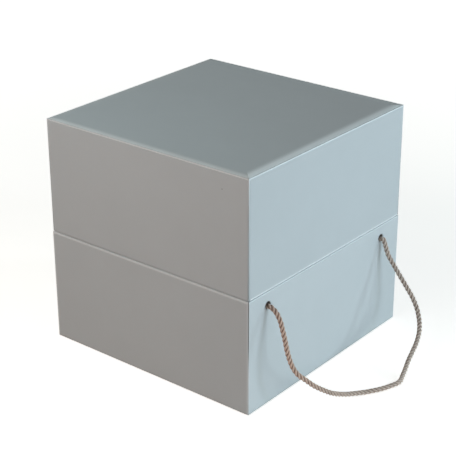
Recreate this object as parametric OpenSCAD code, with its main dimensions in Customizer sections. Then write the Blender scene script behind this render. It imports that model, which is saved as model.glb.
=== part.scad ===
// Rigid two-piece flower box: a square base and a deep lid that closes over an inner neck.
// Each half is a board tray with taped corners, wrapped in paper that is turned in over the rim.
// A rope handle passes through two punched holes in one side and is knotted inside the neck.
// Millimetres, origin at the centre of the underside, +Z up, the handle on the +X side.

/* [Base] */
// Width and depth of the base over its paper
box_w = 210; // [170:1:260]
// Height of the base from the table to its rim
base_h = 100; // [80:1:140]
// Thickness of the base's board
base_board_t = 2.5; // [2:0.1:3]
// Radius of the base's upright corners over the paper
base_corner_r = 1.2; // [1:0.1:2.5]
// Radius of the base's rim and bottom edge over the paper
base_edge_r = 1; // [0.8:0.1:2]

/* [Lid] */
// Height of the lid from its rim to its top
lid_h = 100.2; // [70:0.1:160]
// Thickness of the lid's board
lid_board_t = 1.8; // [1.5:0.1:2.4]
// Radius of the lid's upright corners over the paper
lid_corner_r = 2.4; // [1.4:0.1:4]
// Radius of the edge round the lid's top over the paper
lid_top_r = 2.3; // [1.4:0.1:4]
// Radius of the lid's rim over the paper
lid_rim_r = 0.8; // [0.6:0.1:1.5]
// Gap between the closed lid's rim and the base's rim
seam_gap = 0.3; // [0.3:0.1:1]
// Play between the lid and the neck on each side
lid_play = 0.3; // [0.3:0.1:0.8]

/* [Neck] */
// Thickness of the neck's board
neck_board_t = 2; // [1.5:0.1:3]
// Height of the neck's board above the base's rim
neck_rise = 24; // [12:1:40]
// Radius of the neck's upright corners over the paper
neck_corner_r = 1; // [0.8:0.1:2]

/* [Paper] */
// Thickness of the wrapping paper with its glue
wrap_t = 0.3; // [0.2:0.05:0.4]
// Thickness of the lining paper
liner_t = 0.3; // [0.2:0.05:0.5]
// Thickness of the loose sheet glued under the base
sheet_t = 0.3; // [0.2:0.05:0.5]
// Inset of that sheet from the base's sides
sheet_inset = 3; // [2:0.5:10]
// Depth of the paper turned in over each rim
turn_in = 18; // [15:1:25]
// Width of the paper turned under the base
turn_under = 20; // [12:1:40]
// Step where the front and back papers end at the base's corners
lap_step = 0.12; // [0.05:0.01:0.18]
// Thickness of the stay tape round each board corner
tape_t = 0.2; // [0.1:0.05:0.3]
// Width of each leg of the stay tape
tape_w = 15; // [8:1:25]
// Distance from the ends of the stay tape to the ends of its corner
tape_end = 2.5; // [2.5:0.5:8]

/* [Rope handle] */
// Diameter of the rope
rope_d = 4; // [3:0.1:4.2]
// Diameter of the punched rope holes
hole_d = 6.5; // [6.4:0.1:8]
// Distance between the two holes of a side
hole_spacing = 158; // [120:1:158]
// How far the pair of holes sits off the middle of the side, along Y
hole_shift = -2; // [-6:0.5:6]
// Depth of the holes' centres below the base's rim
hole_drop = 11.5; // [9:0.5:12]
// How far the rope lies below the holes' centres
rope_sag = 0.9; // [0:0.1:0.9]
// Distance from the wall to the line that the loop swings about
knuckle_out = 3; // [3:0.5:5]
// Gap between the fixed rope end and the swinging loop
knuckle_gap = 0.3; // [0.3:0.1:0.6]
// Gap between each knot and the neck
knot_gap = 0.3; // [0.2:0.1:1]
// Size of the knots, as a multiple of the route below
knot_scale = 0.92; // [0.91:0.01:1]

/* [Hidden] */
$fn = 48;

// Overlap of a cutter past the face that it opens
over = 1;

paper_colour = [0.68, 0.73, 0.75];
liner_colour = [0.93, 0.93, 0.91];
board_colour = [0.62, 0.60, 0.56];
tape_colour = [0.78, 0.66, 0.48];
rope_colour = [0.66, 0.58, 0.48];

// Base: half widths of each layer from the outside in, and heights from the table up
base_board_out = box_w/2 - wrap_t;
base_board_in = base_board_out - base_board_t;
base_inner = base_board_in - liner_t;
base_board_z0 = sheet_t + wrap_t;
base_floor_z = base_board_z0 + base_board_t;
base_board_z1 = base_h - wrap_t;

// Neck: it stands on the lined floor, tight inside the base
neck_board_out = base_inner - wrap_t;
neck_board_in = neck_board_out - neck_board_t;
neck_inner = neck_board_in - wrap_t;
neck_z0 = base_floor_z + liner_t;
neck_z1 = base_h + neck_rise;

// Lid: half widths from the inside out, so that it always clears the neck
lid_inner = base_inner + lid_play;
lid_board_in = lid_inner + liner_t;
lid_board_out = lid_board_in + lid_board_t;
lid_w = 2*(lid_board_out + wrap_t);
lid_z0 = base_h + seam_gap;
lid_z1 = lid_z0 + lid_h;
lid_board_z0 = lid_z0 + wrap_t;
lid_board_z1 = lid_z1 - wrap_t;
lid_ceiling_z = lid_board_z1 - lid_board_t;

// Rope: the holes, and the line that the rope takes through each of them
hole_z = base_h - hole_drop;
hole_front_y = hole_shift - hole_spacing/2;
hole_rear_y = hole_shift + hole_spacing/2;
rope_r = rope_d/2;
rope_z = hole_z - rope_sag;
rope_sides = 8;

// The loop swings about the line through its two end points, just outside the wall
knuckle_x = box_w/2 + knuckle_out;
rope_end_x = knuckle_x - rope_r - knuckle_gap;

// The loop at rest, as [out from the wall, along the wall, up from the table]
loop_route = [
    [8, -81, 84.5], [12, -81.5, 79.5], [15, -82, 72.5], [18, -82.5, 64], [20.5, -83, 56],
    [22.5, -82.5, 49], [25, -81.5, 42.5], [28.5, -79.5, 36.5], [33, -75, 31],
    [37, -69, 24.5], [40.5, -61.5, 18.5], [43, -53.5, 13], [45, -44.5, 8.5], [47, -35.5, 5],
    [50.5, -26.5, 3], [54.5, -18.5, 2], [58.5, -12, 2], [62, -5, 2], [64.5, 2.5, 2],
    [66, 8, 2], [65.5, 13.5, 2], [63.5, 19, 2.5], [61, 27, 4], [58, 36.5, 7],
    [55.5, 47, 10.5], [53, 57, 14], [50, 65, 17.5], [46.5, 71.5, 21.5], [42, 77, 26],
    [37.5, 80, 32.5], [32, 81, 40.5], [26, 80.5, 48.5], [20, 79.5, 57], [14, 78.5, 65.5],
    [8.5, 77.5, 74], [5.5, 77.5, 81]
];

// An overhand knot and its tail, as [in from the neck, to the side, down from the hole]
knot_route = [
    [1, 0, 0.5], [3.5, -2.5, 2], [8, -5.5, 3], [12.5, -8, 5], [15.5, -9, 9.5],
    [15.5, -6, 14], [13.5, -1, 14], [11, 2, 10], [9.5, 3, 5.5], [7.5, 2, 0],
    [4.5, -2, -3.5], [2.5, -7, -3], [3, -9.5, 2], [6, -8, 7], [10.5, -5, 9],
    [15.5, -2.5, 9], [19, 0.5, 11.5], [23, 2, 14], [26.5, 3, 17]
];

// ---- Shapes that repeat ----

module rounded_square(w, r) {
    square([w - 2*r, w], center = true);
    square([w, w - 2*r], center = true);
    for (x = [-1, 1], y = [-1, 1])
        translate([x*(w/2 - r), y*(w/2 - r)])
            circle(r);
}

// Upright section of a block, with its own radius at the foot and at the head
module edge_profile(w, h, foot_r, head_r) {
    translate([-w/2, foot_r])
        square([w, h - foot_r - head_r]);
    translate([-w/2 + foot_r, 0])
        square([w - 2*foot_r, h/2]);
    translate([-w/2 + head_r, h/2])
        square([w - 2*head_r, h/2]);
    for (x = [-1, 1]) {
        translate([x*(w/2 - foot_r), foot_r])
            circle(foot_r);
        translate([x*(w/2 - head_r), h - head_r])
            circle(head_r);
    }
}

// Square block with rounded uprights and a rounded edge round its foot and its head
module soft_block(w, z0, z1, corner_r, foot_r, head_r) {
    intersection() {
        translate([0, 0, z0])
            linear_extrude(z1 - z0)
                rounded_square(w, corner_r);
        for_each_side(w, z0)
            edge_profile(w, z1 - z0, foot_r, head_r);
    }
}

// The same upright section run along Y and along X, and what the two runs share
module for_each_side(w, z0) {
    intersection() {
        translate([0, 0, z0])
            rotate([90, 0, 0])
                linear_extrude(w + 2*over, center = true)
                    children();
        translate([0, 0, z0])
            rotate([90, 0, 90])
                linear_extrude(w + 2*over, center = true)
                    children();
    }
}

// Plain square prism, given by its half width
module prism(half, z0, z1) {
    translate([-half, -half, z0])
        cube([2*half, 2*half, z1 - z0]);
}

module square_ring(half_out, half_in, z0, z1) {
    difference() {
        prism(half_out, z0, z1);
        prism(half_in, z0 - over, z1 + over);
    }
}

// The two rope holes, punched straight through both sides and the neck
module rope_holes() {
    for (y = [hole_front_y, hole_rear_y])
        translate([0, y, hole_z])
            rotate([0, 90, 0])
                cylinder(d = hole_d, h = box_w + 2*over, center = true);
}

// Strips of tape folded round the four corners of a board tray
module corner_tapes(half, corner_r, z0, z1) {
    for (x = [-1, 1], y = [-1, 1])
        intersection() {
            translate([0, 0, z0])
                linear_extrude(z1 - z0)
                    difference() {
                        rounded_square(2*half, corner_r);
                        rounded_square(2*(half - tape_t), corner_r - tape_t);
                    }
            translate([x*half, y*half, (z0 + z1)/2])
                cube([2*tape_w, 2*tape_w, z1 - z0], center = true);
        }
}

// ---- The base ----

module bottom_sheet() {
    color(liner_colour)
        linear_extrude(sheet_t)
            rounded_square(box_w - 2*sheet_inset, base_corner_r);
}

module base_board_room() {
    soft_block(2*base_board_out, base_board_z0, base_board_z1, base_corner_r - wrap_t,
               base_edge_r - wrap_t, base_edge_r - wrap_t);
}

// The paper of the two sides turns the corners, and that of the front and back ends there
module base_wrap() {
    lap_from = box_w/2 - base_corner_r;
    color(paper_colour)
        difference() {
            union() {
                difference() {
                    soft_block(box_w, sheet_t, base_h, base_corner_r, base_edge_r, base_edge_r);
                    base_board_room();
                    prism(base_inner, base_h/2, base_h + over);
                    prism(box_w/2 - turn_under, 0, base_h/2);
                }
                square_ring(base_board_in, base_inner, base_h - turn_in, base_board_z1);
            }
            for (x = [-1, 1], y = [-1, 1])
                translate([x*(lap_from + base_corner_r), y*(box_w/2 - lap_step/2 + over/2), base_h/2])
                    cube([2*base_corner_r, lap_step + over, base_h], center = true);
            rope_holes();
        }
}

module base_tape_strips() {
    corner_tapes(base_board_out, base_corner_r - wrap_t, base_board_z0 + tape_end,
                 base_board_z1 - tape_end);
}

module base_board() {
    color(board_colour)
        difference() {
            base_board_room();
            prism(base_board_in, base_floor_z, base_h);
            base_tape_strips();
            rope_holes();
        }
}

module base_corner_tapes() {
    color(tape_colour)
        base_tape_strips();
}

// Lines the floor and the walls up to the edge of the turned-in paper
module base_liner() {
    color(liner_colour)
        difference() {
            prism(base_board_in, base_floor_z, base_h - turn_in);
            prism(base_inner, neck_z0, base_h);
            rope_holes();
        }
}

// ---- The neck ----

module neck_board() {
    color(board_colour)
        difference() {
            translate([0, 0, neck_z0])
                linear_extrude(neck_z1 - neck_z0)
                    rounded_square(2*neck_board_out, neck_corner_r - wrap_t);
            prism(neck_board_in, neck_z0 - over, neck_z1 + over);
            rope_holes();
        }
}

// Paper down both faces of the neck and over its top
module neck_wrap() {
    color(liner_colour)
        difference() {
            translate([0, 0, neck_z0])
                linear_extrude(neck_z1 + wrap_t - neck_z0)
                    rounded_square(2*base_inner, neck_corner_r);
            prism(neck_inner, neck_z0 - over, neck_z1 + wrap_t + over);
            difference() {
                translate([0, 0, neck_z0 - over])
                    linear_extrude(neck_z1 - neck_z0 + over)
                        rounded_square(2*neck_board_out, neck_corner_r - wrap_t);
                prism(neck_board_in, neck_z0 - 2*over, neck_z1 + over);
            }
            rope_holes();
        }
}

// ---- The lid ----

module lid_board_room() {
    soft_block(2*lid_board_out, lid_board_z0, lid_board_z1, lid_corner_r - wrap_t,
               lid_rim_r - wrap_t, lid_top_r - wrap_t);
}

module lid_wrap() {
    color(paper_colour)
        union() {
            difference() {
                soft_block(lid_w, lid_z0, lid_z1, lid_corner_r, lid_rim_r, lid_top_r);
                lid_board_room();
                prism(lid_inner, lid_z0 - over, lid_z0 + turn_in);
            }
            square_ring(lid_board_in, lid_inner, lid_board_z0, lid_z0 + turn_in);
        }
}

module lid_tape_strips() {
    corner_tapes(lid_board_out, lid_corner_r - wrap_t, lid_board_z0 + tape_end,
                 lid_board_z1 - lid_top_r - tape_end);
}

module lid_board() {
    color(board_colour)
        difference() {
            lid_board_room();
            prism(lid_board_in, lid_z0 - over, lid_ceiling_z);
            lid_tape_strips();
        }
}

module lid_corner_tapes() {
    color(tape_colour)
        lid_tape_strips();
}

module lid_liner() {
    color(liner_colour)
        difference() {
            prism(lid_board_in, lid_z0 + turn_in, lid_ceiling_z);
            prism(lid_inner, lid_z0, lid_ceiling_z - liner_t);
        }
}

// ---- The rope ----

function unit(v) = v/norm(v);
function square_to(t, n) = unit(n - (n*t)*t);
function tangents(p) = [for (i = [0:len(p) - 1]) unit(p[min(i + 1, len(p) - 1)] - p[max(i - 1, 0)])];

// A side direction for each ring, carried along the route without twisting
function carried(t) = [
    for (i = 0, n = square_to(t[0], [0.3, 1, 0.2]); i < len(t);
         i = i + 1, n = i < len(t) ? square_to(t[i], n) : n)
        n
];

function ring(p, t, n, r) = [
    for (k = [0:rope_sides - 1])
        let (a = 360*k/rope_sides)
            p + r*cos(a)*n + r*sin(a)*cross(t, n)
];

// Each ring of a tube as [centre, radius], with a small dome added where an end is bare
function domed(p, first, last) =
    let (a = unit(p[0] - p[1]), b = unit(p[len(p) - 1] - p[len(p) - 2]), r = rope_r)
        concat(first ? [[p[0] + 0.9*r*a, 0.43*r], [p[0] + 0.5*r*a, 0.86*r]] : [],
               [for (q = p) [q, r]],
               last ? [[p[len(p) - 1] + 0.5*r*b, 0.86*r], [p[len(p) - 1] + 0.9*r*b, 0.43*r]] : []);

module rope_tube(rings) {
    centres = [for (g = rings) g[0]];
    t = tangents(centres);
    n = carried(t);
    s = rope_sides;
    last = len(rings) - 1;
    points = [for (i = [0:last]) each ring(centres[i], t[i], n[i], rings[i][1])];
    walls = [
        for (i = [0:last - 1], k = [0:s - 1])
            let (a = i*s + k, b = i*s + (k + 1)%s)
                each [[a, a + s, b + s], [a, b + s, b]]
    ];
    ends = [[for (k = [0:s - 1]) k], [for (k = [s - 1:-1:0]) last*s + k]];
    polyhedron(points = points, faces = concat(walls, ends));
}

// From the bare face of the stub outside the wall, in through the hole, round the knot
module rope_end(hole_y, turn) {
    stub = [[rope_end_x, hole_y, rope_z], [base_board_out, hole_y, rope_z],
            [neck_inner, hole_y, rope_z]];
    knot = [
        for (p = knot_scale*knot_route)
            [neck_inner - knot_gap - p[0], hole_y + turn*p[1], rope_z - p[2]]
    ];
    color(rope_colour)
        rope_tube(domed(concat(stub, knot), false, true));
}

module rope_end_front() {
    rope_end(hole_front_y, -1);
}

module rope_end_rear() {
    rope_end(hole_rear_y, 1);
}

module rope_loop() {
    route = concat([[knuckle_x, hole_front_y, rope_z]],
                   [for (p = loop_route) [box_w/2 + p[0], p[1], p[2]]],
                   [[knuckle_x, hole_rear_y, rope_z]]);
    color(rope_colour)
        rope_tube(domed(route, true, true));
}

bottom_sheet();
base_wrap();
base_board();
base_corner_tapes();
base_liner();
neck_board();
neck_wrap();
lid_wrap();
lid_board();
lid_corner_tapes();
lid_liner();
rope_end_front();
rope_end_rear();
rope_loop();
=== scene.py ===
# Dresses the flower box's boards: papers, linings, rope handle, materials, lights and camera.
# Metres, in the CAD model's frame: origin under the middle of the box, +Z up, the handle on +X.
import math

import bmesh
import bpy
import numpy as np
from mathutils import Matrix, Vector, noise


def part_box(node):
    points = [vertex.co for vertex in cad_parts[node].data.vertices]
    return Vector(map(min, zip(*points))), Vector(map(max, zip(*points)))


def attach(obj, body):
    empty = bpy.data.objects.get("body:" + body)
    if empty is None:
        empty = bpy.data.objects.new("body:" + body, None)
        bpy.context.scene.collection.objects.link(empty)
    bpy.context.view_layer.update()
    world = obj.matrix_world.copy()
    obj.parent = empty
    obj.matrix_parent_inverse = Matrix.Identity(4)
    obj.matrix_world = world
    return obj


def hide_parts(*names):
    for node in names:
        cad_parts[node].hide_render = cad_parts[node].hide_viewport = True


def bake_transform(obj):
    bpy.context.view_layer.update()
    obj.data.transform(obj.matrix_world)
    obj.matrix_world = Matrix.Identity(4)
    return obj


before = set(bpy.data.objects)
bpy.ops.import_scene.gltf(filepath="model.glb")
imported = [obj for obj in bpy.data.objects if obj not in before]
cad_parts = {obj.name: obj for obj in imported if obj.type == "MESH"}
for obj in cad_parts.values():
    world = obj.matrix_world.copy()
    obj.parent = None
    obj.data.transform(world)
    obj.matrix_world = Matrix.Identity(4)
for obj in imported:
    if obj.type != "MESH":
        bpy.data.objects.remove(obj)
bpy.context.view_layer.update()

MM = 0.001

# ---- The photograph's camera ----
CAMERA_AT = (0.6560, -0.8099, 0.5670)
CAMERA_AZIMUTH, CAMERA_ELEVATION, CAMERA_ROLL = 39.0010, 24.3576, -0.1816
CAMERA_LENS, CAMERA_SENSOR = 105.718, 36.0

# ---- Sizes of the box, as in the part's source, except the rims of the lid and of the neck ----
BASE_CORNER_R, BASE_EDGE_R = 1.2 * MM, 1.0 * MM
LID_CORNER_R, LID_TOP_R, LID_RIM_R = 2.4 * MM, 2.3 * MM, 0.5 * MM
NECK_CORNER_R, NECK_RIM_R = 1.0 * MM, 0.8 * MM
NECK_T = 2.3 * MM                    # the neck's board with its inner paper
TURN_IN, TURN_UNDER = 18 * MM, 20 * MM
LINER_T, LINER_R = 0.3 * MM, 0.4 * MM
PAPER = 0.28 * MM                    # a skin's thickness, a little less than the room it has
TIGHT = 0.05 * MM                    # radius of a folded inner corner
CLEAR = 0.02 * MM                    # gap that keeps a lining off its board
CUT_EDGE = 0.1 * MM                  # how far a lining or a sheet stops short of its edge
HOLE_YS, HOLE_Z, HOLE_R = (-81 * MM, 77 * MM), 88.5 * MM, 3.25 * MM
HOLE_RIM = 0.12 * MM                 # softened edge of the paper round a punched hole
WALL_X, NECK_X = 105 * MM, 99.3 * MM  # outer face of the base's side, inner face of the neck

# ---- Fineness of the skins: distances between rings, and where the finer ones are ----
FACE_STEP, EDGE_STEP, FOLD_STEP = 4.2 * MM, 1.4 * MM, 1.5 * MM
TURNED_STEP, ACROSS_STEP, CUT_STEP = 4 * MM, 3 * MM, 1 * MM  # turned-in paper, over a rim, a cut edge
BEHIND_STEP, HIDDEN_STEP = 9 * MM, 30 * MM  # behind the turned-in paper, elsewhere against the board
UNDER_STEP, SHEET_STEP, LINING_STEP, LINING_COLUMN = 5 * MM, 6 * MM, 12 * MM, 10 * MM
NECK_LOW_STEP, NECK_STEP, NECK_HIDDEN_STEP, NECK_SHOWN = 14 * MM, 6 * MM, 40 * MM, 24 * MM
EDGE_ZONE, RIM_ZONE, TOP_ZONE = 8 * MM, 6 * MM, 15 * MM
NEAR_CORNER = tuple(n * MM for n in (0, 0.3, 0.7, 1.4, 2.8, 5.5))  # columns crowd towards a corner
NEAR_CORNER_END = 8.5 * MM
LID_HEART, LINER_HEART = 6 * MM, 4 * MM  # half width of the one flat face in the middle of a skin
SHARP_ANGLE = math.radians(38)
HOLE_SIDES, CUTTER_LENGTH = 40, 30 * MM

# ---- Waviness of the glued papers, always inwards ----
SWELL_DEPTH, SWELL_SIZE = 0.11 * MM, 62 * MM
RIPPLE_DEPTH, RIPPLE_SIZE = 0.04 * MM, 19 * MM
CALM_ZONE = 14 * MM                  # the waviness dies out this near an edge or a hole
EDGE_WOBBLE, EDGE_WOBBLE_SIZE = 0.16 * MM, 23 * MM

# ---- Rubbed edges, painted highlights and painted light, as shares of one pale colour ----
# Each mark is full up to the first distance of its reach, and gone past the second.
# The rims have pairs of values: on the right and left sides, and on the front and back.
PATCHY_LEAST, PATCHY_SIZE = 0.80, 13 * MM  # the marks come and go: from this share up to all of it
TOP_WEAR_AND_HIGHLIGHT, TOP_REACH = 0.50, (0.1 * MM, 1.6 * MM)  # rubbing and painted highlight down the sides from the top edge
TOP_INWARD = 0.6                     # a step over the top counts as this much of one down the side
FLAT_HIGHLIGHT = {"right": 1.35, "front": 0.62, "far": 0.06}  # painted highlight over the top, from the edge inwards, where the top rolls towards the light
FLAT_REACH = {"right": (3.0 * MM, 11 * MM), "front": (1.5 * MM, 8 * MM), "far": (0.0, 4 * MM)}
FLAT_START = 0.1 * MM, 0.9 * MM
RIM_WEAR_AND_HIGHLIGHT, RIM_REACH = (0.54, 0.46), ((0.4 * MM, 1.2 * MM), (1.0 * MM, 2.0 * MM))  # the base's rim: painted highlight with some rubbing; on the right and left it also lifts the gap's shade
# painted light on the lid's rim at the right and left, against the shade of the gap above the base
LID_RIM_LIGHT, LID_RIM_REACH = (0.85, 0.0), (0.4 * MM, 1.0 * MM)
LAP_HIGHLIGHT, LAP_REACH = 0.33, (0.9 * MM, 2.4 * MM)  # painted highlight on the rounded corner where the front and back papers end
SIDE_LIGHT = 0.10                     # painted light: the base's right side is a shade lighter all over
# a painted highlight at a pinch in the right-hand top edge
PINCH_AT, PINCH_SIZE = (102.0 * MM, -52 * MM, 200 * MM), (1.1 * MM, 4.5 * MM, 1.2 * MM)

# ---- Painted shade in slits, seams and at the foot, and one dark speck, as shares of one dark colour ----
SHADE_RIM, RIM_SHADE_REACH = (0.0, 0.32), (0.2 * MM, 0.8 * MM)  # painted shade on the lid's rim, in the gap above the base
# painted shade along the base's foot, where it meets the table
SHADE_FOOT, FOOT_SHADE_REACH = 0.24, (0.5 * MM, 1.6 * MM)
LAP_STEP, LAP_LINE = 0.12 * MM, 0.42 * MM
# painted shade in the narrow gap along the laps
LAP_SHUT_DARK, LAP_OPEN_DARK = 0.12, 0.80
LAP_OPEN = (38 * MM, 66 * MM)        # the near lap is closed below the first height, open above the second
SPECK_AT, SPECK_R, SPECK_DARK = (79.2 * MM, -104.6 * MM, 186 * MM), 0.75 * MM, 0.45

# ---- The soft roll of the lid's top towards its edges, felt by the light alone ----
CROWN_DROP, CROWN_SIZE = (0.6 * MM, 1.5 * MM), 8 * MM  # two drops: right and left, front and back
CROWN_TURN = 0.35, 0.65              # at the top's corners, the roll goes over from one drop to the other
CROWN_FADE = 1.2 * MM

# ---- The rope ----
ROPE_D = 4 * MM
STRANDS, LAY = 3, 11.4 * MM            # right-hand laid: the strands turn once in a lay
STRAND_OFFSET, STRAND_R = 1.03 * MM, 1.15 * MM
STRAND_SLACK, SLACK_SIZE = 0.03, 9 * MM  # each strand is up to this share thinner here and there
ROPE_STEP, TABLE_GAP = 0.62 * MM, 0.02 * MM
ROPE_SIDES, CURVE_SIDES = 36, 24
ROPE_Z, MID_WALL_X, KNUCKLE_X = 87.6 * MM, 102.5 * MM, 108 * MM
KNOT_GAP, KNOT_SCALE = 0.3 * MM, 0.92
ROPE_LIGHT_REACH = (150 * MM, 240 * MM)      # along the rope, its colour is painted greyer and paler, and its crease shade paler, as the light falls stronger there
CUT_END = ((0.86, 0.16 * MM), (0.45, 0.26 * MM))  # a cut end's rings: share of its size, how far out
CUT_CREASE = 0.4

# The loop, in millimetres: out from the wall, along the wall, up from the table
LOOP_ROUTE = (
    (8, -81, 84.5), (12, -81.5, 79.5), (15, -82, 72.5), (18, -82.5, 64), (20.5, -83, 56),
    (22.5, -82.5, 49), (25, -81.5, 42.5), (28.5, -79.5, 36.5), (33, -75, 31),
    (37, -69, 24.5), (40.5, -61.5, 18.5), (43, -53.5, 13), (45, -44.5, 8.5), (47, -35.5, 5),
    (50.5, -26.5, 3), (54.5, -18.5, 2), (58.5, -12, 2), (62, -5, 2), (64.5, 2.5, 2),
    (66, 8, 2), (65.5, 13.5, 2), (63.5, 19, 2.5), (61, 27, 4), (58, 36.5, 7),
    (55.5, 47, 10.5), (53, 57, 14), (50, 65, 17.5), (46.5, 71.5, 21.5), (42, 77, 26),
    (37.5, 80, 32.5), (32, 81, 40.5), (26, 80.5, 48.5), (20, 79.5, 57), (14, 78.5, 65.5),
    (8.5, 77.5, 74), (5.5, 77.5, 81),
)

# An overhand knot and its tail, in millimetres: in from the neck, to the side, down
KNOT_ROUTE = (
    (1, 0, 0.5), (3.5, -2.5, 2), (8, -5.5, 3), (12.5, -8, 5), (15.5, -9, 9.5),
    (15.5, -6, 14), (13.5, -1, 14), (11, 2, 10), (9.5, 3, 5.5), (7.5, 2, 0),
    (4.5, -2, -3.5), (2.5, -7, -3), (3, -9.5, 2), (6, -8, 7), (10.5, -5, 9),
    (15.5, -2.5, 9), (19, 0.5, 11.5), (23, 2, 14), (26.5, 3, 17),
)

# ---- Colours, linear ----
WRAP_COLOUR = (0.470, 0.520, 0.540)
WHITE_COLOUR = (0.800, 0.795, 0.770)
BOARD_COLOUR = (0.330, 0.310, 0.280)
TAPE_COLOUR = (0.560, 0.390, 0.220)
# the rope: near colour, far run painted greyer and paler, and the painted shade in its creases, near and far
ROPE_COLOUR, ROPE_LIT_COLOUR = (0.590, 0.435, 0.350), (0.580, 0.490, 0.420)
ROPE_CREASE_SHADE, ROPE_CREASE_SHADE_LIT = (0.145, 0.085, 0.060), (0.260, 0.190, 0.150)
# painted shade in the slits, seams and at the foot, and the colour of one dark speck
SHADE_AND_SPECK_COLOUR = (0.045, 0.050, 0.045)
WEAR_AND_HIGHLIGHT_COLOUR = (0.880, 0.940, 0.960)    # the rubbed paper's colour, also painted as highlight and light on edges, rims, laps and the base's right side
FLOOR_COLOUR = (0.900, 0.850, 0.780)

# ---- Surfaces ----
NOISE_RANGE = 0.3, 0.7                # where most of a noise texture's values lie
PAPER_SPECULAR, PAPER_COAT, PAPER_COAT_ROUGHNESS = 0.1, 0.20, 0.30
PAPER_UNEVEN, UNEVEN_DEPTH = 0.03, 0.05 * MM  # spread of a paper's roughness, depth of its unevenness
CLOUD_SCALE, GRAIN_SCALE, UNEVEN_SCALE = 24.0, 1900.0, 130.0
PULP_SCALE, PULP_DEPTH, FIBRE_SCALE, FIBRE_DEPTH = 900.0, 0.1 * MM, 700.0, 0.04 * MM
YARN_STRETCH, YARN_ANGLE, YARN_DEPTH = (9.0, 42.0, 1.0), math.radians(24), 0.12 * MM
ROPE_PATCH_SCALE, CREASE_START = 60.0, 0.42
FLOOR_HALF, FLOOR_DROP, FLOOR_SQUARES = 9.0, 0.02 * MM, 24
GLOW_REACH, GLOW_LEVELS = (0.35, 1.2), (0.70, 1.0)  # the floor turns white away from the box's shadow

# ---- Lights ----
LAMPS = (  # name, direction from the box, distance, size (wide, high), level on a white face, colour
    ("window_right", (0.75, 0.14, 0.21), 0.79, (0.12, 0.12), 0.120, (0.69, 0.80, 1.00)),
    ("window_rear", (1.0, 1.05, 0.30), 2.2, (0.30, 0.30), 0.178, (0.77, 0.93, 1.00)),
    ("low_right", (1.0, 0.2, 0.05), 1.6, (0.90, 0.30), 0.335, (0.83, 0.97, 1.00)),
    ("floor_right", (0.80, -0.20, -0.04), 0.85, (0.60, 0.08), 0.140, (0.91, 0.93, 1.00)),
    ("fill_high", (-0.45, -0.40, 0.60), 0.85, (0.40, 0.40), 0.113, (0.74, 0.96, 1.00)),
    ("fill_above", (-0.10, -0.50, 0.47), 0.69, (0.30, 0.30), 0.207, (0.86, 1.00, 0.99)),
    ("fill_front", (-0.2, -1.0, 0.35), 1.2, (0.90, 0.90), 0.212, (1.00, 0.43, 0.31)),
)
LAMPS_AIM = (0, 0, 0.1)
AMBIENT, AMBIENT_COLOUR = 0.083, (0.78, 1.0, 0.97)


# ---- Small helpers ----

def new_object(name, data):
    """An object in the scene, from its mesh, lamp or camera."""
    made = bpy.data.objects.new(name, data)
    bpy.context.scene.collection.objects.link(made)
    return made


def smoothstep(low, high, value):
    """0 up to low and 1 from high, with a smooth climb between them."""
    t = min(max((value - low) / (high - low), 0.0), 1.0)
    return t * t * (3 - 2 * t)


def soft_noise(point, size, seed):
    """Smooth noise from 0 to 1 with features of about that size."""
    return 0.5 + 0.5 * noise.noise(Vector(point) / size + Vector((seed, 0.37 * seed, -0.61 * seed)))


def point_attribute(mesh, name, values):
    layer = mesh.attributes.new(name, "FLOAT", "POINT")
    layer.data.foreach_set("value", np.asarray(values, np.float32))


# ---- Square skins: a path of (half width, height, corner radius, skin) swept round a square ----

def line(start, end, step):
    """Points from start up to, but not including, end."""
    a, b = Vector(start), Vector(end)
    count = max(1, round((b - a).length / step))
    return [tuple(a.lerp(b, i / count)) for i in range(count)]


def run(start, *legs):
    """Points along straight legs, each (end, step), without the last end."""
    points = []
    for end, step in legs:
        points += line(start, end, step)
        start = end
    return points


def arc(centre, radius, start, end, count):
    """Points on an arc without its last one. Angles in degrees, 0 outwards and 90 up."""
    angles = [math.radians(start + (end - start) * i / count) for i in range(count)]
    return [(centre[0] + radius * math.cos(a), centre[1] + radius * math.sin(a)) for a in angles]


def outside(points, half, corner_r):
    """Points of the visible skin: its corners follow the box's, less what the point lies inwards."""
    return [(h, z, max(corner_r - (half - h), TIGHT), True) for h, z in points]


def inside(points):
    return [(h, z, TIGHT, False) for h, z in points]


def square_columns(half, corner_r, step, arc_count=6):
    """The columns of a skin: (side, place on its straight from -1 to 1, None) or (side, None, angle)."""
    straight = half - corner_r
    end = straight - NEAR_CORNER_END
    places = ([-straight + n for n in NEAR_CORNER] + list(np.linspace(-end, end, round(2 * straight / step)))
              + [straight - n for n in reversed(NEAR_CORNER)])
    columns = []
    for side in range(4):
        columns += [(side, place / straight, None) for place in places]
        columns += [(side, None, math.radians(90 * i / arc_count)) for i in range(1, arc_count)]
    return columns


def column_point(column, half, corner_r):
    """A column's place on a ring, and the way that it faces in plan."""
    side, place, angle = column
    if angle is None:
        at, facing = (half, place * (half - corner_r)), (1.0, 0.0)
    else:
        c, s = math.cos(angle), math.sin(angle)
        at, facing = (half - corner_r + corner_r * c, half - corner_r + corner_r * s), (c, s)
    c, s = ((1, 0), (0, 1), (-1, 0), (0, -1))[side]
    return tuple((c * a - s * b, s * a + c * b) for a, b in (at, facing))


def path_normals(path, closed):
    """The way that each point of a path faces, as (outwards, up)."""
    normals, count = [], len(path)
    for i in range(count):
        before = path[(i - 1) % count] if closed or i else path[i]
        after = path[(i + 1) % count] if closed or i < count - 1 else path[i]
        dh, dz = after[0] - before[0], after[1] - before[1]
        length = math.hypot(dh, dz) or 1.0
        normals.append((dz / length, -dh / length))
    return normals


def ring_faces(rings, width, closed):
    """The faces between neighbouring rings of that many points each."""
    faces = []
    for r in range(rings if closed else rings - 1):
        a, b = r * width, (r + 1) % rings * width
        for c in range(width):
            d = (c + 1) % width
            faces.append((a + c, a + d, b + d, b + c))
    return faces


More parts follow.
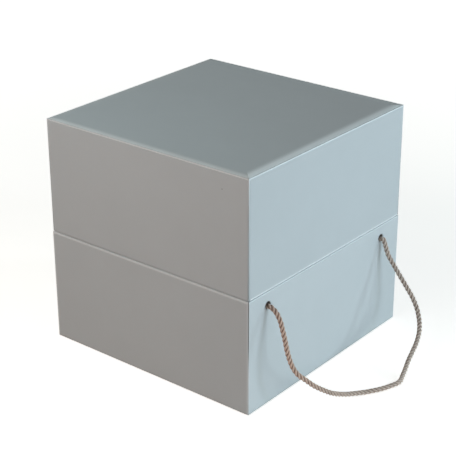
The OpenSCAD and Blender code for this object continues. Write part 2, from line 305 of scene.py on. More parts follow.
def swept_skin(name, path, columns, closed, dent=None):
    """A skin through every point of the path and every column. dent(point, facing) moves the
    visible points inwards by that much."""
    verts, rings, width = [], len(path), len(columns)
    for (half, z, corner_r, shown), (out, up) in zip(path, path_normals(path, closed)):
        for column in columns:
            (x, y), (fx, fy) = column_point(column, half, corner_r)
            point, facing = Vector((x, y, z)), Vector((out * fx, out * fy, up))
            if shown and dent:
                point -= facing * dent(point, facing)
            verts.append(point)
    faces = ring_faces(rings, width, closed)
    if not closed:
        faces.append(tuple(reversed(range(width))))
        faces.append(tuple(range((rings - 1) * width, rings * width)))
    mesh = bpy.data.meshes.new(name)
    mesh.from_pydata(verts, [], faces)
    mesh.validate()
    mesh.shade_smooth()
    mesh.set_sharp_from_angle(angle=SHARP_ANGLE)
    return new_object(name, mesh)


def punched(obj):
    """Cuts the rope holes through both sides and softens the paper's edge round them."""
    cutters = []
    for x, y in ((x, y) for x in (WALL_X, -WALL_X) for y in HOLE_YS):
        bm = bmesh.new()
        across = Matrix.Translation((x, y, HOLE_Z)) @ Matrix.Rotation(math.pi / 2, 4, "Y")
        bmesh.ops.create_cone(bm, cap_ends=True, segments=HOLE_SIDES, radius1=HOLE_R, radius2=HOLE_R,
                              depth=CUTTER_LENGTH, matrix=across)
        mesh = bpy.data.meshes.new("hole_cutter")
        bm.to_mesh(mesh)
        bm.free()
        cutters.append(new_object("hole_cutter", mesh))
        cut = obj.modifiers.new("hole", "BOOLEAN")
        cut.operation, cut.solver, cut.object = "DIFFERENCE", "EXACT", cutters[-1]
    depsgraph = bpy.context.evaluated_depsgraph_get()
    obj.data = bpy.data.meshes.new_from_object(obj.evaluated_get(depsgraph))
    obj.modifiers.clear()
    for cutter in cutters:
        bpy.data.objects.remove(cutter)
    soften_holes(obj.data)
    return obj


def soften_holes(mesh):
    """Rounds the edges that the punch left in the paper."""
    bm = bmesh.new()
    bm.from_mesh(mesh)
    at_hole = {v for v in bm.verts for y in HOLE_YS
               if abs(math.hypot(v.co.y - y, v.co.z - HOLE_Z) - HOLE_R) < 0.01 * MM}
    sharp = [e for e in bm.edges if e.verts[0] in at_hole and e.verts[1] in at_hole
             and len(e.link_faces) == 2 and e.calc_face_angle(0) > math.radians(60)]
    bmesh.ops.bevel(bm, geom=sharp, offset=HOLE_RIM, segments=2, affect="EDGES", clamp_overlap=True)
    bm.to_mesh(mesh)
    bm.free()


# ---- The papers ----

def calm(point, facing, half, low, high):
    """0 at the edges of a face and at the rope holes, and 1 away from them. A face that looks along
    an axis has no edges across it."""
    x, y, z = point
    from_edges = [half - abs(x) if abs(facing.x) < 0.7 else 1, half - abs(y) if abs(facing.y) < 0.7 else 1]
    if abs(facing.z) < 0.7:
        from_edges += [z - low, high - z]
    if abs(facing.x) > 0.7:
        from_edges += [math.hypot(y - hole_y, z - HOLE_Z) - HOLE_R for hole_y in HOLE_YS]
    return smoothstep(0, CALM_ZONE, min(from_edges))


def paper_dent(half, low, high, seed):
    """The depth of a glued paper's waviness at each point, for swept_skin."""
    def dent(point, facing):
        still = calm(point, facing, half, low, high)
        return still * (SWELL_DEPTH * soft_noise(point, SWELL_SIZE, seed)
                        + RIPPLE_DEPTH * soft_noise(point, RIPPLE_SIZE, seed + 3))
    return dent


def base_dent(half, low, high):
    """The base's waviness, and the step down to the side papers where the front and back ones end."""
    flat = paper_dent(half, low, high, 29.0)

    def dent(point, facing):
        past_lap = abs(point.x) > half - BASE_CORNER_R - 0.01 * MM
        return flat(point, facing) + (LAP_STEP * abs(facing.y) if past_lap else 0.0)
    return dent


def lid_dent(half, low, high):
    """The lid's waviness, and the wobble of its folded top edges."""
    flat = paper_dent(half, low, high, 11.0)

    def dent(point, facing):
        depth = flat(point, facing)
        if 0.2 < facing.z < 0.98:
            depth += EDGE_WOBBLE * soft_noise(point, EDGE_WOBBLE_SIZE, 5.0)
        return depth
    return dent


def near_spot(point, centre, size):
    """1 at the centre of an ellipsoid, falling to 0 at about twice its size."""
    return math.exp(-sum(((a - b) / c)**2 for a, b, c in zip(point, centre, size)))


def patchy(point):
    """From the least share to 1, as rubbing and painted highlight come and go along an edge."""
    return PATCHY_LEAST + (1 - PATCHY_LEAST) * soft_noise(point, PATCHY_SIZE, 17.0)


def fading(reach, away):
    """1 up to the first distance, 0 past the second."""
    return 1 - smoothstep(*reach, away)


def on_front(point, half, corner_r):
    """0 on the sides of the box, 1 on its front and back."""
    return int(half - abs(point.y) < corner_r)


def nearest_edge(x, y):
    """Which of the lid's top edges is nearest: the right one, the front one, or one of the far two."""
    if abs(x) > abs(y):
        return "right" if x > 0 else "far"
    return "front" if y < 0 else "far"


def lid_wear_and_painted_light(point, half, low, top):
    """How far the lid's paper is lightened: rubbing and painted highlight round its top edge, further over
    the top than down the sides; painted light along its rim; and a painted highlight at one pinch in the
    right-hand top edge."""
    x, y, z = point
    inward, down, near = half - max(abs(x), abs(y)), top - z, nearest_edge(x, y)
    edge = TOP_WEAR_AND_HIGHLIGHT * fading(TOP_REACH, max(down, TOP_INWARD * inward))
    flat = FLAT_HIGHLIGHT[near] * fading(FLAT_REACH[near], inward) * smoothstep(*FLAT_START, inward)
    flat = flat if down < LID_TOP_R else 0.0
    rim = LID_RIM_LIGHT[on_front(point, half, LID_CORNER_R)] * fading(LID_RIM_REACH, z - low)
    return max(patchy(point) * max(edge, flat, rim), near_spot(point, PINCH_AT, PINCH_SIZE))


def lid_shade(point, half, low):
    """Painted shade on the lid's rim, in the gap where it meets the base."""
    return SHADE_RIM[on_front(point, half, LID_CORNER_R)] * fading(RIM_SHADE_REACH, point.z - low)


def lid_crown(point, half):
    """How far the top has rolled down near its edges, as felt by the light alone. The roll's slope
    dies out over the edge's own rounding."""
    away_x, away_y = half - abs(point.x), half - abs(point.y)
    inward = min(away_x, away_y)
    front = smoothstep(*CROWN_TURN, away_x / (away_x + away_y + TIGHT))
    drop = CROWN_DROP[0] + (CROWN_DROP[1] - CROWN_DROP[0]) * front
    if inward > LID_TOP_R + CROWN_SIZE:
        return 0.0
    if inward > LID_TOP_R:
        return -drop * (1 - (inward - LID_TOP_R) / CROWN_SIZE)**2
    past = min(LID_TOP_R - inward, CROWN_FADE)
    return -drop * (1 + 2 * past / CROWN_SIZE * (1 - past / (2 * CROWN_FADE)))


def base_wear_and_painted_light(point, half, top):
    """How far the base's paper is lightened: painted highlight with some rubbing along its rim, and painted
    highlight where the laps of the front and back papers end. Its right side is painted a shade lighter all
    over."""
    x, y, z = point
    inward, front = half - max(abs(x), abs(y)), on_front(point, half, BASE_CORNER_R)
    rim = RIM_WEAR_AND_HIGHLIGHT[front] * fading(RIM_REACH[front], max(inward, top - z))
    lap = LAP_HIGHLIGHT * fading(LAP_REACH, half - abs(x)) * front
    lighter_side = SIDE_LIGHT if half - x < BASE_CORNER_R else 0.0
    return max(patchy(point) * max(rim, lap), lighter_side)


def base_shade(point, half, low):
    """Painted shade in the base's laps, and along its foot, where it meets the table."""
    return max(lap_shade(point, half), SHADE_FOOT * fading(FOOT_SHADE_REACH, point.z - low))


def lap_shade(point, half):
    """Painted shade in the narrow gap along the laps of the base: open at the near corner, shut elsewhere."""
    x, y, z = point
    if half - abs(y) > BASE_CORNER_R:
        return 0.0
    from_middle = 0.7 * abs(abs(x) - abs(y))         # of the rounded corner, about square to its diagonal
    dark = LAP_OPEN_DARK * smoothstep(*LAP_OPEN, z) if x > 0 > y else LAP_SHUT_DARK
    return dark * fading((0.5 * LAP_LINE, LAP_LINE), from_middle)


def mark(obj, wear_and_highlight, shade, crown):
    """Store each point's rubbing and painted light, its painted shade and its roll for the paper's material.
    """
    points = [v.co for v in obj.data.vertices]
    for name, amount in (("wear_and_highlight", wear_and_highlight), ("painted_shade", shade), ("crown", crown)):
        point_attribute(obj.data, name, [amount(p) for p in points])


def lid_paper():
    """The lid's paper: over the top, down the sides, round the rim and up inside by TURN_IN."""
    low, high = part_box("lid_wrap")
    half, bottom, top = high.x, low.z, high.z
    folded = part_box("lid_liner")[1].x - LINER_T      # inner face of the turned-in paper
    hidden, behind, lining_top = half - PAPER, folded + PAPER, bottom + TURN_IN
    rim = half - LID_RIM_R, bottom + LID_RIM_R
    fold = folded + LID_RIM_R, bottom + LID_RIM_R
    back = (run((LID_HEART, top - PAPER), ((hidden, top - PAPER), HIDDEN_STEP),
                ((hidden, bottom + PAPER), HIDDEN_STEP), ((behind, bottom + PAPER), ACROSS_STEP),
                ((behind, lining_top), BEHIND_STEP), ((folded, lining_top), CUT_STEP),
                ((folded, fold[1]), TURNED_STEP))
            + arc(fold, LID_RIM_R, 180, 270, 4))
    sides = (arc(rim, LID_RIM_R, -90, 0, 4)
             + run((half, rim[1]), ((half, rim[1] + RIM_ZONE), FOLD_STEP),
                   ((half, top - EDGE_ZONE), FACE_STEP), ((half, top - LID_TOP_R), EDGE_STEP))
             + arc((half - LID_TOP_R, top - LID_TOP_R), LID_TOP_R, 0, 90, 8))
    roof = run((LID_HEART, top), ((half - TOP_ZONE, top), FACE_STEP), ((half - LID_TOP_R, top), EDGE_STEP))
    path = inside(back) + outside(sides + roof[::-1], half, LID_CORNER_R)
    made = swept_skin("lid_paper", path, square_columns(half, LID_CORNER_R, FACE_STEP), False,
                      lid_dent(half, bottom, top))
    mark(made, lambda p: lid_wear_and_painted_light(p, half, bottom, top), lambda p: lid_shade(p, half, bottom),
         lambda p: lid_crown(p, half))
    return made


def lid_lining():
    """The lining of the lid's ceiling and walls."""
    low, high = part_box("lid_liner")
    outer, ceiling, foot = high.x - CLEAR, high.z - CLEAR, low.z + CUT_EDGE
    shown, under = high.x - LINER_T, high.z - LINER_T
    path = inside(run((LINER_HEART, under), ((shown - LINER_R, under), LINING_STEP))
                  + arc((shown - LINER_R, under - LINER_R), LINER_R, 90, 0, 3)
                  + run((shown, under - LINER_R), ((shown, foot), LINING_STEP), ((outer, foot), CUT_STEP),
                        ((outer, ceiling), HIDDEN_STEP), ((LINER_HEART, ceiling), HIDDEN_STEP))
                  + [(LINER_HEART, ceiling)])
    return swept_skin("lid_lining", path, square_columns(outer, TIGHT, LINING_COLUMN, 2), False)


def base_paper():
    """The base's paper: from under the floor, up the sides, round the rim and down inside by TURN_IN."""
    low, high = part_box("base_wrap")
    half, bottom, top = high.x, low.z, high.z
    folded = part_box("neck_wrap")[1].x
    hidden, behind, under = half - PAPER, folded + PAPER, half - TURN_UNDER
    foot = half - BASE_EDGE_R, bottom + BASE_EDGE_R
    rim = half - BASE_EDGE_R, top - BASE_EDGE_R
    fold = folded + BASE_EDGE_R, top - BASE_EDGE_R
    shown = (line((under, bottom), (foot[0], bottom), UNDER_STEP)
             + arc(foot, BASE_EDGE_R, -90, 0, 5)
             + run((half, foot[1]), ((half, foot[1] + RIM_ZONE), FOLD_STEP),
                   ((half, top - EDGE_ZONE), FACE_STEP), ((half, rim[1]), EDGE_STEP))
             + arc(rim, BASE_EDGE_R, 0, 90, 5) + [(rim[0], top)])
    back = (arc(fold, BASE_EDGE_R, 90, 180, 5)
            + run((folded, fold[1]), ((folded, top - TURN_IN), TURNED_STEP),
                  ((behind, top - TURN_IN), CUT_STEP), ((behind, top - PAPER), BEHIND_STEP),
                  ((hidden, top - PAPER), ACROSS_STEP), ((hidden, bottom + PAPER), HIDDEN_STEP),
                  ((under, bottom + PAPER), BEHIND_STEP))
            + [(under, bottom + PAPER)])
    path = outside(shown, half, BASE_CORNER_R) + inside(back)
    made = punched(swept_skin("base_paper", path, square_columns(half, BASE_CORNER_R, FACE_STEP), True,
                              base_dent(half, bottom, top)))
    mark(made, lambda p: base_wear_and_painted_light(p, half, top), lambda p: base_shade(p, half, bottom), lambda p: 0.0)
    return made


def base_lining():
    """The lining of the base's floor and walls."""
    low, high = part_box("base_liner")
    outer, under, head = high.x - CLEAR, low.z + CLEAR, high.z - CUT_EDGE
    shown, floor = high.x - LINER_T, low.z + LINER_T
    path = inside(run((LINER_HEART, under), ((outer, under), HIDDEN_STEP), ((outer, head), HIDDEN_STEP),
                      ((shown, head), CUT_STEP), ((shown, floor + LINER_R), LINING_STEP))
                  + arc((shown - LINER_R, floor + LINER_R), LINER_R, 0, -90, 3)
                  + line((shown - LINER_R, floor), (LINER_HEART, floor), LINING_STEP)
                  + [(LINER_HEART, floor)])
    return swept_skin("base_lining", path, square_columns(outer, TIGHT, LINING_COLUMN, 2), False)


def neck_paper():
    """The neck's paper, over its rim and down both of its faces."""
    low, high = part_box("neck_wrap")
    half, foot, top = high.x, low.z, high.z
    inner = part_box("neck_board")[1].x - NECK_T
    head, hidden, behind = top - NECK_RIM_R, half - PAPER, inner + PAPER
    shown = (run((half, foot), ((half, head - NECK_SHOWN), NECK_LOW_STEP), ((half, head), ACROSS_STEP))
             + arc((half - NECK_RIM_R, head), NECK_RIM_R, 0, 90, 4) + [(half - NECK_RIM_R, top)])
    back = (arc((inner + NECK_RIM_R, head), NECK_RIM_R, 90, 180, 4)
            + run((inner, head), ((inner, foot), NECK_STEP), ((behind, foot), CUT_STEP),
                  ((behind, top - PAPER), NECK_HIDDEN_STEP), ((hidden, top - PAPER), ACROSS_STEP),
                  ((hidden, foot), NECK_HIDDEN_STEP))
            + [(hidden, foot)])
    path = outside(shown, half, NECK_CORNER_R) + inside(back)
    return punched(swept_skin("neck_paper", path, square_columns(half, NECK_CORNER_R, NECK_STEP, 4), True))


def underside_paper():
    """The sheet glued under the base."""
    low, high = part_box("bottom_sheet")
    half, top = high.x, high.z - CLEAR
    edge = half - CUT_EDGE
    path = outside(line((LINER_HEART, 0), (edge, 0), SHEET_STEP) + [(edge, 0), (half, CUT_EDGE), (half, top)]
                   + line((edge, top), (LINER_HEART, top), HIDDEN_STEP) + [(LINER_HEART, top)],
                   half, BASE_CORNER_R)
    return swept_skin("underside_paper", path, square_columns(half, BASE_CORNER_R, SHEET_STEP, 4), False)


# ---- The rope ----

def smooth_curve(points, step):
    """Points about a step apart on a smooth curve through all the given ones."""
    p = np.array([2 * points[0] - points[1], *points, 2 * points[-1] - points[-2]])
    fine = []
    for a, b, c, d in zip(p, p[1:], p[2:], p[3:]):
        for t in np.linspace(0, 1, CURVE_SIDES, endpoint=False):
            fine.append(0.5 * (2 * b + (c - a) * t + (2 * a - 5 * b + 4 * c - d) * t**2
                               + (3 * b - 3 * c + d - a) * t**3))
    fine = np.array(fine + [p[-2]])
    along = np.concatenate([[0], np.cumsum(np.linalg.norm(np.diff(fine, axis=0), axis=1))])
    places = np.linspace(0, along[-1], round(along[-1] / step) + 1)
    return np.stack([np.interp(places, along, fine[:, k]) for k in range(3)], axis=1), places


def knot_points(hole_y, turn):
    """A knot's route from its hole inwards, turned to one side or the other."""
    return [np.array((NECK_X - KNOT_GAP - KNOT_SCALE * p[0] * MM,
                      hole_y + turn * KNOT_SCALE * p[1] * MM,
                      ROPE_Z - KNOT_SCALE * p[2] * MM)) for p in KNOT_ROUTE]


def rope_line():
    """The whole rope from one tail to the other: knot, hole, loop, hole, knot."""
    def through_wall(y):
        return [np.array((x, y, ROPE_Z)) for x in (NECK_X, MID_WALL_X, WALL_X, KNUCKLE_X)]
    front, rear = HOLE_YS
    loop = [np.array((WALL_X + x * MM, y * MM, z * MM)) for x, y, z in LOOP_ROUTE]
    points = (knot_points(front, -1)[::-1] + through_wall(front) + loop
              + through_wall(rear)[::-1] + knot_points(rear, 1))
    centres, along = smooth_curve(points, ROPE_STEP)
    centres[:, 2] = np.maximum(centres[:, 2], ROPE_D / 2)
    return centres, along


def carried_frames(centres):
    """Two side directions for each point, carried along without twisting."""
    tangents = np.gradient(centres, axis=0)
    tangents /= np.linalg.norm(tangents, axis=1)[:, None]
    sides, side = [], np.array((0.3, 1.0, 0.2))
    for t in tangents:
        side = side - side.dot(t) * t
        side = side / np.linalg.norm(side)
        sides.append(side)
    sides = np.array(sides)
    return tangents, sides, np.cross(tangents, sides)


def strand_profile():
    """The outline of three strands laid together: angle, radius and place across a strand."""
    angles = np.arange(ROPE_SIDES) * 2 * math.pi / ROPE_SIDES
    per = 2 * math.pi / STRANDS
    off = (angles + per / 2) % per - per / 2
    radii = STRAND_OFFSET * np.cos(off) + np.sqrt(STRAND_R**2 - (STRAND_OFFSET * np.sin(off))**2)
    return angles, radii, np.abs(off) / (per / 2)


def rope_rings(centres, along, sides, uppers):
    """The points round each centre: the strands' outline turned by the lay, kept off the table."""
    angles, radii, _ = strand_profile()
    verts = []
    for c, place, n, b in zip(centres, along, sides, uppers):
        turn = 2 * math.pi * place / LAY
        for a, r in zip(angles, radii):
            strand = int((a + math.pi / STRANDS) * STRANDS / (2 * math.pi)) % STRANDS
            slack = 1 - STRAND_SLACK * (1 - soft_noise((place, 0, 0), SLACK_SIZE, 7.0 * strand + 1))
            vert = c + r * slack * (math.cos(a + turn) * n + math.sin(a + turn) * b)
            verts.append((vert[0], vert[1], max(vert[2], TABLE_GAP)))
    return verts


def close_end(verts, faces, first, centre, outwards, way):
    """Rounds off and closes the rope's end at the ring that starts at first. way is -1 or 1."""
    ring = [np.array(v) for v in verts[first:first + ROPE_SIDES]]
    for scale, out in CUT_END:
        start = len(verts)
        verts += [centre + (v - centre) * scale + out * outwards for v in ring]
        for k in range(ROPE_SIDES):
            m = (k + 1) % ROPE_SIDES
            quad = (first + k, first + m, start + m, start + k)
            faces.append(quad if way > 0 else quad[::-1])
        first = start
    cap = tuple(range(first, first + ROPE_SIDES))
    faces.append(cap if way > 0 else cap[::-1])


def unroll(mesh, along):
    """UV map "lay": how many lays along the rope, and how far round it, for the streaks of yarn."""
    place = [(a / LAY, k / ROPE_SIDES) for a in along for k in range(ROPE_SIDES)]
    place += [(0.0, 0.0)] * (len(mesh.vertices) - len(place))
    coords = []
    for polygon in mesh.polygons:
        wraps = max(place[v][1] for v in polygon.vertices) > 0.9
        coords += [c for v in polygon.vertices
                   for c in (place[v][0], place[v][1] + (1.0 if wraps and place[v][1] < 0.1 else 0.0))]
    mesh.uv_layers.new(name="lay").data.foreach_set("uv", coords)


def mark_rope(mesh, along):
    """Stores how near each point is to the crease between two strands, and how much of the far run's painted
    light it takes.
    """
    across = strand_profile()[2]
    far_light = np.array([smoothstep(*ROPE_LIGHT_REACH, place) for place in along])
    ends = len(mesh.vertices) - len(along) * ROPE_SIDES
    point_attribute(mesh, "crease", np.concatenate([np.tile(across, len(along)), np.full(ends, CUT_CREASE)]))
    point_attribute(mesh, "far_light", np.concatenate([np.repeat(far_light, ROPE_SIDES),
                                                   np.repeat((far_light[0], far_light[-1]), ends // 2)]))


def rope():
    """The whole handle as one skin, from one knot to the other."""
    centres, along = rope_line()
    tangents, sides, uppers = carried_frames(centres)
    verts = rope_rings(centres, along, sides, uppers)
    faces = ring_faces(len(centres), ROPE_SIDES, False)
    for i, way in ((0, -1), (len(centres) - 1, 1)):
        close_end(verts, faces, i * ROPE_SIDES, centres[i], way * tangents[i], way)
    mesh = bpy.data.meshes.new("rope_handle")
    mesh.from_pydata([tuple(v) for v in verts], [], faces)
    unroll(mesh, along)
    mark_rope(mesh, along)
    mesh.shade_smooth()
    made = new_object("rope_handle", mesh)
    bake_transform(made)
    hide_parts("rope_loop", "rope_end_front", "rope_end_rear")
    return made


# ---- Materials ----

def node_material(name):
    material = bpy.data.materials.new(name)
    material.use_nodes = True
    nodes, links = material.node_tree.nodes, material.node_tree.links
    return material, nodes, links, nodes["Principled BSDF"]


def noise_texture(nodes, links, coords, scale, detail=3.0, rough=0.55):
    texture = nodes.new("ShaderNodeTexNoise")
    texture.inputs["Scale"].default_value = scale
    texture.inputs["Detail"].default_value = detail
    texture.inputs["Roughness"].default_value = rough
    links.new(coords, texture.inputs["Vector"])
    return texture.outputs["Fac"]


def ramp(nodes, links, factor, low, high, first, last):
    """The factor from low to high, spread over the values first to last."""
    spread = nodes.new("ShaderNodeMapRange")
    for socket, value in zip(("From Min", "From Max", "To Min", "To Max"), (low, high, first, last)):
        spread.inputs[socket].default_value = value
    links.new(factor, spread.inputs["Value"])
    return spread.outputs["Result"]


def times(nodes, links, colour, factor):
    """A colour scaled by a factor."""
    scale = nodes.new("ShaderNodeVectorMath")
    scale.operation = "SCALE"
    if isinstance(colour, tuple):
        scale.inputs["Vector"].default_value = colour
    else:
        links.new(colour, scale.inputs["Vector"])
    links.new(factor, scale.inputs["Scale"])
    return scale.outputs["Vector"]


def product(nodes, links, a, b):
    multiply = nodes.new("ShaderNodeMath")
    multiply.operation = "MULTIPLY"
    links.new(a, multiply.inputs[0])
    links.new(b, multiply.inputs[1])
    return multiply.outputs["Value"]


def bump(nodes, links, height, distance, after=None):
    node = nodes.new("ShaderNodeBump")
    node.inputs["Distance"].default_value = distance
    links.new(height, node.inputs["Height"])
    if after:
        links.new(after, node.inputs["Normal"])
    return node.outputs["Normal"]


def object_coords(nodes):
    return nodes.new("ShaderNodeTexCoord").outputs["Object"]


def named_mark(nodes, name):
    """What the mesh stores under that name, point by point."""
    stored = nodes.new("ShaderNodeAttribute")
    stored.attribute_name = name
    return stored.outputs["Fac"]


def mixed(nodes, links, factor, a, b):
    """Colour a, turning to colour b as the factor goes from 0 to 1."""
    blend = nodes.new("ShaderNodeMix")
    blend.data_type = "RGBA"
    links.new(factor, blend.inputs["Factor"])
    for socket, colour in ((blend.inputs["A"], a), (blend.inputs["B"], b)):
        if isinstance(colour, tuple):
            socket.default_value = (*colour, 1)
        else:
            links.new(colour, socket)
    return blend.outputs["Result"]


def marked(nodes, links, coords, colour):
    """A wrapping paper's colour with its rubbed edges and painted highlights, painted shade in its slits, and
    one dark speck.
    """
    worn_and_lit = mixed(nodes, links, named_mark(nodes, "wear_and_highlight"), colour, WEAR_AND_HIGHLIGHT_COLOUR)
    painted_shade = mixed(nodes, links, named_mark(nodes, "painted_shade"), worn_and_lit, SHADE_AND_SPECK_COLOUR)
    gap = nodes.new("ShaderNodeVectorMath")
    gap.operation = "DISTANCE"
    links.new(coords, gap.inputs[0])
    gap.inputs[1].default_value = SPECK_AT
    speck = ramp(nodes, links, gap.outputs["Value"], 0.4 * SPECK_R, SPECK_R, SPECK_DARK, 0.0)
    return mixed(nodes, links, speck, painted_shade, SHADE_AND_SPECK_COLOUR)


def paper_material(name, colour, roughness, mottle, grain_depth, has_marks=False):
    """Paper with faint clouds, a fine grain and a soft unevenness under the gloss."""
    material, nodes, links, shader = node_material(name)
    coords = object_coords(nodes)
    if has_marks:
        colour = marked(nodes, links, coords, colour)
    clouds = ramp(nodes, links, noise_texture(nodes, links, coords, CLOUD_SCALE), *NOISE_RANGE,
                  1 - mottle, 1 + mottle)
    grain = noise_texture(nodes, links, coords, GRAIN_SCALE, 2.0)
    flecks = ramp(nodes, links, grain, *NOISE_RANGE, 1 - mottle, 1 + mottle)
    links.new(times(nodes, links, colour, product(nodes, links, clouds, flecks)), shader.inputs["Base Color"])
    shader.inputs["Specular IOR Level"].default_value = PAPER_SPECULAR
    shader.inputs["Coat Weight"].default_value = PAPER_COAT
    shader.inputs["Coat Roughness"].default_value = PAPER_COAT_ROUGHNESS
    uneven = noise_texture(nodes, links, coords, UNEVEN_SCALE, 2.0)
    links.new(ramp(nodes, links, uneven, *NOISE_RANGE, roughness - PAPER_UNEVEN, roughness + PAPER_UNEVEN),
              shader.inputs["Roughness"])
    relief = bump(nodes, links, uneven, UNEVEN_DEPTH, bump(nodes, links, grain, grain_depth))
    if has_marks:
        relief = bump(nodes, links, named_mark(nodes, "crown"), 1.0, relief)
    links.new(relief, shader.inputs["Normal"])
    return material


def board_material():
    """Grey board of pressed waste paper, with dark and pale fibres."""
    material, nodes, links, shader = node_material("grey_board")
    coords = object_coords(nodes)
    pulp = noise_texture(nodes, links, coords, PULP_SCALE, 5.0, 0.7)
    fibres = ramp(nodes, links, pulp, *NOISE_RANGE, 0.75, 1.2)
    links.new(times(nodes, links, BOARD_COLOUR, fibres), shader.inputs["Base Color"])
    shader.inputs["Roughness"].default_value = 0.9
    links.new(bump(nodes, links, pulp, PULP_DEPTH), shader.inputs["Normal"])
    return material


def tape_material():
    """Gummed kraft tape with its long fibres."""
    material, nodes, links, shader = node_material("kraft_tape")
    coords = object_coords(nodes)
    fibres = noise_texture(nodes, links, coords, FIBRE_SCALE, 4.0, 0.65)
    links.new(times(nodes, links, TAPE_COLOUR, ramp(nodes, links, fibres, *NOISE_RANGE, 0.82, 1.12)),
              shader.inputs["Base Color"])
    shader.inputs["Roughness"].default_value = 0.6
    links.new(bump(nodes, links, fibres, FIBRE_DEPTH), shader.inputs["Normal"])
    return material


def rope_material():
    """Laid natural-fibre cord: streaks of yarn along each strand, painted shade where the strands meet, and
    the far run painted greyer and paler.
    """
    material, nodes, links, shader = node_material("laid_rope")
    place = nodes.new("ShaderNodeUVMap")
    place.uv_map = "lay"
    stretch = nodes.new("ShaderNodeMapping")
    stretch.inputs["Scale"].default_value = YARN_STRETCH
    stretch.inputs["Rotation"].default_value = (0.0, 0.0, YARN_ANGLE)
    links.new(place.outputs["UV"], stretch.inputs["Vector"])
    yarns = noise_texture(nodes, links, stretch.outputs["Vector"], 1.0, 3.0, 0.6)
    patches = noise_texture(nodes, links, object_coords(nodes), ROPE_PATCH_SCALE, 2.0)
    depth = ramp(nodes, links, named_mark(nodes, "crease"), CREASE_START, 1.0, 0.0, 1.0)
    far_light = named_mark(nodes, "far_light")
    raised = mixed(nodes, links, far_light, ROPE_COLOUR, ROPE_LIT_COLOUR)
    crease_shade = mixed(nodes, links, far_light, ROPE_CREASE_SHADE, ROPE_CREASE_SHADE_LIT)
    tone = product(nodes, links, ramp(nodes, links, yarns, *NOISE_RANGE, 0.74, 1.22),
                   ramp(nodes, links, patches, *NOISE_RANGE, 0.94, 1.06))
    links.new(times(nodes, links, mixed(nodes, links, depth, raised, crease_shade), tone),
              shader.inputs["Base Color"])
    shader.inputs["Roughness"].default_value = 0.85
    shader.inputs["Sheen Weight"].default_value = 0.25
    shader.inputs["Sheen Roughness"].default_value = 0.5
    links.new(bump(nodes, links, yarns, YARN_DEPTH), shader.inputs["Normal"])
    return material


def dress(obj, material):
    """Gives an object that one material."""
    obj.data.materials.clear()
    obj.data.materials.append(material)


# ---- Lights, floor and camera ----

def soft_lamp(name, direction, distance, size, level, colour):
    """A lamp facing the box, size wide and high. level is how bright a white face turned to it is."""
    lamp = bpy.data.lights.new(name, "AREA")
    lamp.shape = "RECTANGLE"
    lamp.size, lamp.size_y = size
    lamp.energy = level * math.pi**2 * distance**2
    lamp.color = colour
    made = new_object(name, lamp)
    away = Vector(direction).normalized()
    made.location = Vector(LAMPS_AIM) + away * distance
    made.rotation_euler = away.to_track_quat("Z", "Y").to_euler()
    made.visible_camera = False


def seen_or(nodes, links, plain, white):
    """What camera, glossy and transmitted rays see, or else the plain shader."""
    path = nodes.new("ShaderNodeLightPath")
    seen = path.outputs["Is Camera Ray"]
    for ray in ("Is Glossy Ray", "Is Transmission Ray"):
        both = nodes.new("ShaderNodeMath")
        both.operation = "MAXIMUM"
        links.new(seen, both.inputs[0])
        links.new(path.outputs[ray], both.inputs[1])
        seen = both.outputs["Value"]
    mix = nodes.new("ShaderNodeMixShader")
    links.new(seen, mix.inputs["Fac"])
    links.new(plain, mix.inputs[1])
    links.new(white, mix.inputs[2])
    return mix.outputs["Shader"]


def surroundings():
    """A white background, and a little even light from all sides."""
    world = bpy.data.worlds.new("studio")
    bpy.context.scene.world = world
    world.use_nodes = True
    nodes, links = world.node_tree.nodes, world.node_tree.links
    nodes.clear()
    plain, white, out = (nodes.new(kind) for kind in (
        "ShaderNodeBackground", "ShaderNodeBackground", "ShaderNodeOutputWorld"))
    plain.inputs["Color"].default_value = (*AMBIENT_COLOUR, 1)
    plain.inputs["Strength"].default_value = AMBIENT
    links.new(seen_or(nodes, links, plain.outputs["Background"], white.outputs["Background"]),
              out.inputs["Surface"])
    white.inputs["Color"].default_value = (1, 1, 1, 1)


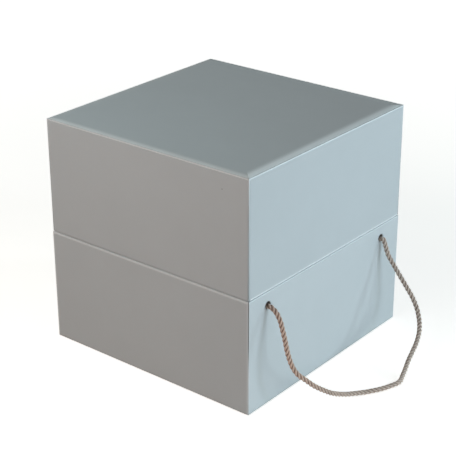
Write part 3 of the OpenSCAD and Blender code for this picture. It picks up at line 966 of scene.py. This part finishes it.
def studio_floor():
    """A pale floor that keeps the box's shadow. Seen directly it is lifted to the background's white."""
    mesh = bpy.data.meshes.new("studio_floor")
    bm = bmesh.new()
    bmesh.ops.create_grid(bm, x_segments=FLOOR_SQUARES, y_segments=FLOOR_SQUARES, size=FLOOR_HALF)
    bm.to_mesh(mesh)
    bm.free()
    floor = new_object("studio_floor", mesh)
    floor.location.z = -FLOOR_DROP
    material, nodes, links, shader = node_material("white_floor")
    shader.inputs["Base Color"].default_value = (*FLOOR_COLOUR, 1)
    shader.inputs["Roughness"].default_value = 0.9
    shader.inputs["Specular IOR Level"].default_value = 0.1
    glow = nodes.new("ShaderNodeEmission")
    reach = nodes.new("ShaderNodeVectorMath")
    reach.operation = "LENGTH"
    links.new(object_coords(nodes), reach.inputs[0])
    links.new(ramp(nodes, links, reach.outputs["Value"], *GLOW_REACH, *GLOW_LEVELS), glow.inputs["Strength"])
    lit = nodes.new("ShaderNodeAddShader")
    links.new(shader.outputs["BSDF"], lit.inputs[0])
    links.new(glow.outputs["Emission"], lit.inputs[1])
    links.new(seen_or(nodes, links, shader.outputs["BSDF"], lit.outputs["Shader"]),
              nodes["Material Output"].inputs["Surface"])
    dress(floor, material)


def camera():
    """The camera that the photograph was taken with, as fitted to the box's edges."""
    a, e, r = (math.radians(d) for d in (CAMERA_AZIMUTH, CAMERA_ELEVATION, CAMERA_ROLL))
    back = Vector((math.sin(a) * math.cos(e), -math.cos(a) * math.cos(e), math.sin(e)))
    right = Vector((0, 0, 1)).cross(back).normalized()
    up = back.cross(right)
    right, up = math.cos(r) * right + math.sin(r) * up, math.cos(r) * up - math.sin(r) * right
    data = bpy.data.cameras.new("camera")
    data.sensor_width, data.lens = CAMERA_SENSOR, CAMERA_LENS
    made = new_object("camera", data)
    made.matrix_world = Matrix.Translation(CAMERA_AT) @ Matrix((right, up, back)).transposed().to_4x4()
    bpy.context.scene.camera = made


# ---- The scene ----

camera()
wrap = paper_material("wrap_paper", WRAP_COLOUR, 0.46, 0.012, 0.012 * MM, has_marks=True)
white = paper_material("white_paper", WHITE_COLOUR, 0.62, 0.010, 0.015 * MM)
grey, kraft = board_material(), tape_material()

for make, node, body, slot, material in (
        (base_paper, "base_wrap", "base", "wrap_paper", wrap),
        (base_lining, "base_liner", "base", "white_paper", white),
        (neck_paper, "neck_wrap", "base", "white_paper", white),
        (underside_paper, "bottom_sheet", "base", "white_paper", white),
        (lid_paper, "lid_wrap", "lid", "wrap_paper", wrap),
        (lid_lining, "lid_liner", "lid", "white_paper", white)):
    piece = make()
    dress(piece, material)
    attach(piece, body)
    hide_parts(node)
for name in ("base_board", "neck_board", "lid_board"):
    dress(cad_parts[name], grey)
for name in ("base_corner_tapes", "lid_corner_tapes"):
    dress(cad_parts[name], kraft)
dress(rope(), rope_material())

surroundings()
studio_floor()
for lamp in LAMPS:
    soft_lamp(*lamp)
bpy.context.scene.view_settings.view_transform = "Standard"
